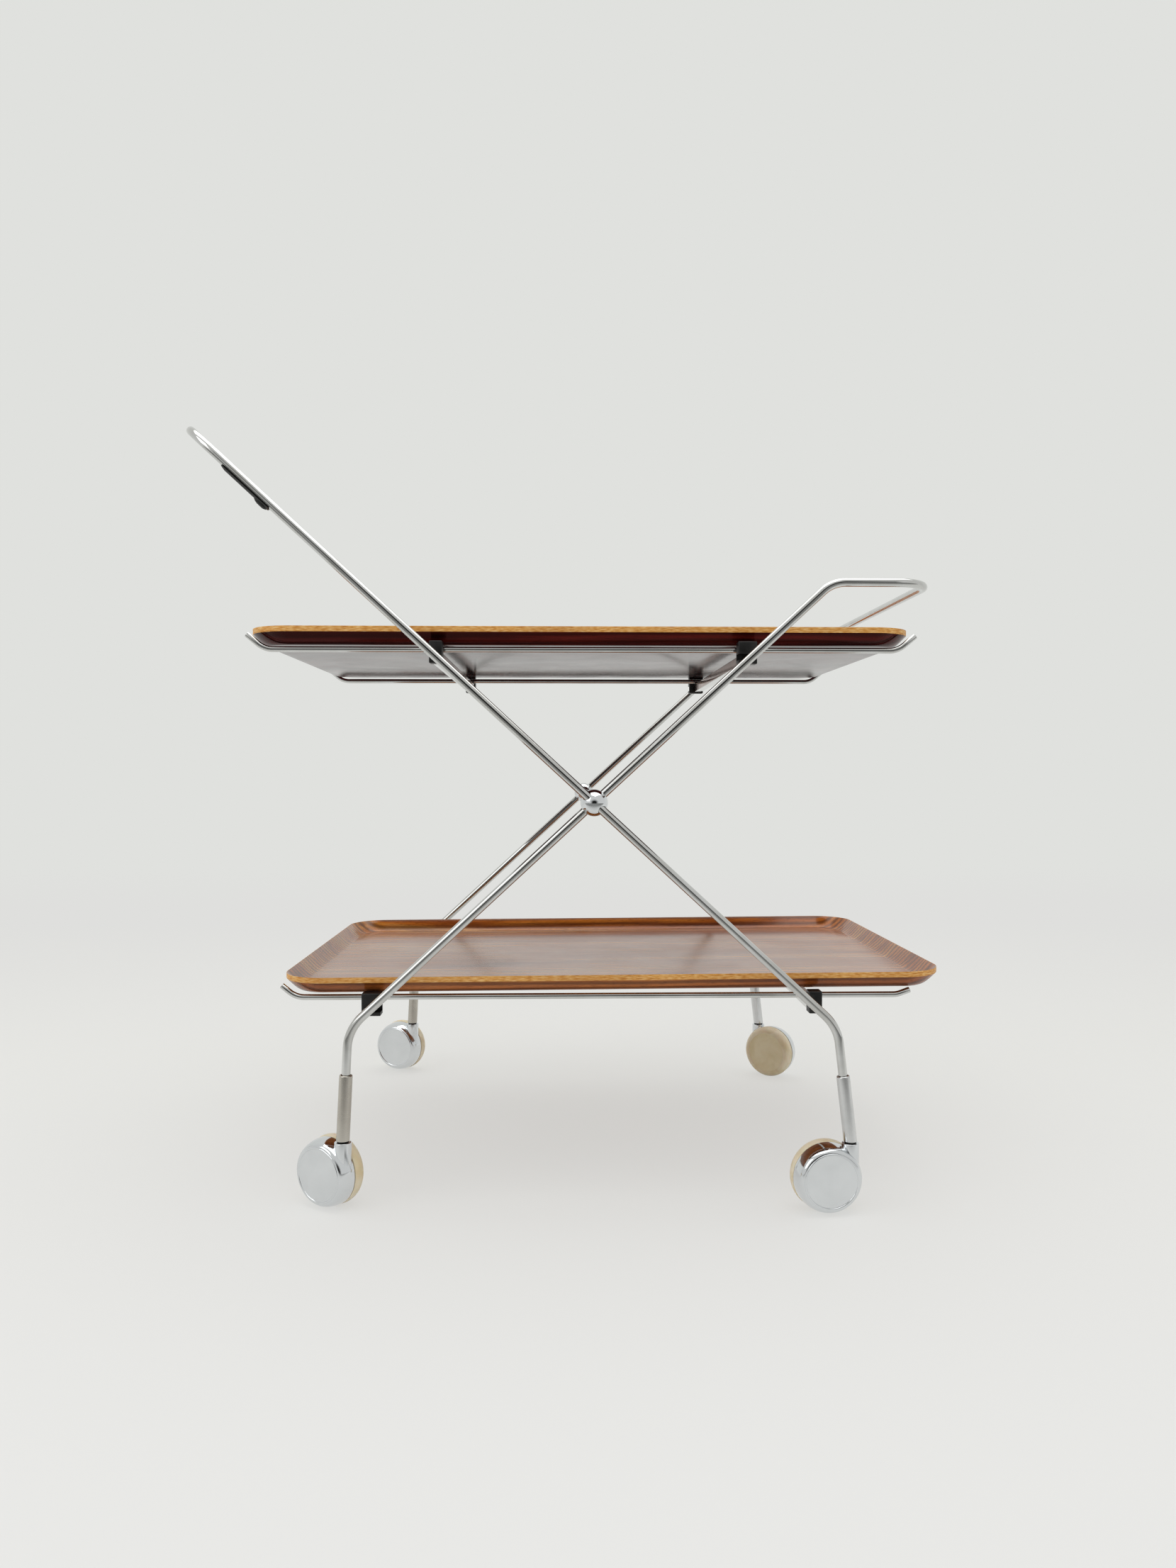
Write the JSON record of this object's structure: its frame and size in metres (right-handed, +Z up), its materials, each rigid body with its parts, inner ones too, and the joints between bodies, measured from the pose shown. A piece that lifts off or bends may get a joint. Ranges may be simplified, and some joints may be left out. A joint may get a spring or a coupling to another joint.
{
  "type": "bar cart",
  "caption": "Folding serving trolley: crossed chromed rod frames with a raised push handle, two wire racks, lift-off moulded rosewood trays and hooded swivel casters.",
  "frame": {"origin": "on the floor, at the middle of the trolley's bounding box", "axes": "+Z up, +X toward the short handle's end, -Y toward the viewer in the picture"},
  "size_m": [0.7008, 0.5248, 0.7076],
  "materials": {
    "chrome": "polished chrome plate",
    "plated_steel": "plain plated steel",
    "black_plastic": "matte black",
    "cream_plastic": "satin cream",
    "rosewood": "rosewood veneer under satin lacquer"
  },
  "bodies": {
    "long_frame": {"frame_long": "chrome", "ball_near_front_half": "chrome", "ball_far_front_half": "chrome", "pivot_rivet_near": "plated_steel", "pivot_rivet_far": "plated_steel", "leg_sleeve_near_right": "chrome", "leg_sleeve_far_right": "chrome", "upper_hinge_pin_near": "plated_steel", "upper_hinge_pin_far": "plated_steel", "lower_hinge_pin_near": "plated_steel", "lower_hinge_pin_far": "plated_steel", "handle_clip": "black_plastic"},
    "short_frame": {"frame_short": "chrome", "ball_near_rear_half": "chrome", "ball_far_rear_half": "chrome", "leg_sleeve_near_left": "chrome", "leg_sleeve_far_left": "chrome", "upper_hook_pin_near": "plated_steel", "upper_hook_pin_far": "plated_steel", "lower_hook_pin_near": "plated_steel", "lower_hook_pin_far": "plated_steel"},
    "upper_rack": {"upper_wire_near": "chrome", "upper_wire_far": "chrome", "upper_hinge_bar": "chrome", "upper_hook_bar": "chrome", "upper_eye_plug_near": "black_plastic", "upper_eye_plug_far": "black_plastic", "upper_hook_plug_near": "black_plastic", "upper_hook_plug_far": "black_plastic"},
    "upper_tray_body": {"upper_tray": "rosewood"},
    "lower_rack": {"lower_wire_near": "chrome", "lower_wire_far": "chrome", "lower_hinge_bar": "chrome", "lower_hook_bar": "chrome", "lower_eye_plug_near": "black_plastic", "lower_eye_plug_far": "black_plastic", "lower_hook_plug_near": "black_plastic", "lower_hook_plug_far": "black_plastic"},
    "lower_tray_body": {"lower_tray": "rosewood"},
    "caster_near_left": {"caster_hood_near_left": "chrome", "caster_stem_near_left": "black_plastic", "caster_axle_near_left": "plated_steel"},
    "wheel_near_left": {"caster_wheel_near_left": "cream_plastic"},
    "caster_near_right": {"caster_hood_near_right": "chrome", "caster_stem_near_right": "black_plastic", "caster_axle_near_right": "plated_steel"},
    "wheel_near_right": {"caster_wheel_near_right": "cream_plastic"},
    "caster_far_left": {"caster_hood_far_left": "chrome", "caster_stem_far_left": "black_plastic", "caster_axle_far_left": "plated_steel"},
    "wheel_far_left": {"caster_wheel_far_left": "cream_plastic"},
    "caster_far_right": {"caster_hood_far_right": "chrome", "caster_stem_far_right": "black_plastic", "caster_axle_far_right": "plated_steel"},
    "wheel_far_right": {"caster_wheel_far_right": "cream_plastic"}
  },
  "joints": [
    {"name": "fold", "type": "hinge", "parent": "long_frame", "child": "short_frame", "pos_m": [0.01877, -0.01004, 0.36663], "axis": [0, -1, 0], "range_deg": [0, 48]},
    {"name": "upper_rack_level", "type": "hinge", "parent": "long_frame", "child": "upper_rack", "pos_m": [-0.12571, -0.01004, 0.49996], "axis": [0, -1, 0], "range_deg": [0, 24]},
    {"name": "lower_rack_level", "type": "hinge", "parent": "long_frame", "child": "lower_rack", "pos_m": [0.22492, -0.01004, 0.17641], "axis": [0, -1, 0], "range_deg": [0, 24]},
    {"name": "upper_tray_lift", "type": "slide", "parent": "upper_rack", "child": "upper_tray_body", "axis": [0, 0, 1], "range_m": [0, 0.025]},
    {"name": "lower_tray_lift", "type": "slide", "parent": "lower_rack", "child": "lower_tray_body", "axis": [0, 0, 1], "range_m": [0, 0.025]},
    {"name": "swivel_near_left", "type": "hinge", "parent": "short_frame", "child": "caster_near_left", "pos_m": [-0.20655, -0.23404, 0.064], "axis": [0, 0, 1], "continuous": true},
    {"name": "roll_near_left", "type": "hinge", "parent": "caster_near_left", "child": "wheel_near_left", "pos_m": [-0.22146, -0.21936, 0.0315], "axis": [0.5446, 0.8387, 0], "continuous": true},
    {"name": "swivel_near_right", "type": "hinge", "parent": "long_frame", "child": "caster_near_right", "pos_m": [0.2481, -0.24604, 0.064], "axis": [0, 0, 1], "continuous": true},
    {"name": "roll_near_right", "type": "hinge", "parent": "caster_near_right", "child": "wheel_near_right", "pos_m": [0.22727, -0.24401, 0.0315], "axis": [-0.1045, 0.9945, 0], "continuous": true},
    {"name": "swivel_far_left", "type": "hinge", "parent": "short_frame", "child": "caster_far_left", "pos_m": [-0.20655, 0.22596, 0.064], "axis": [0, 0, 1], "continuous": true},
    {"name": "roll_far_left", "type": "hinge", "parent": "caster_far_left", "child": "wheel_far_left", "pos_m": [-0.22357, 0.23813, 0.0315], "axis": [0.4067, 0.9135, 0], "continuous": true},
    {"name": "swivel_far_right", "type": "hinge", "parent": "long_frame", "child": "caster_far_right", "pos_m": [0.2481, 0.21396, 0.064], "axis": [0, 0, 1], "continuous": true},
    {"name": "roll_far_right", "type": "hinge", "parent": "caster_far_right", "child": "wheel_far_right", "pos_m": [0.26166, 0.19803, 0.0315], "axis": [-0.6157, -0.788, 0], "continuous": true}
  ],
  "couplings": [
    {"joint": "upper_rack_level", "follows": "fold", "ratio": 0.5},
    {"joint": "lower_rack_level", "follows": "fold", "ratio": 0.5}
  ]
}
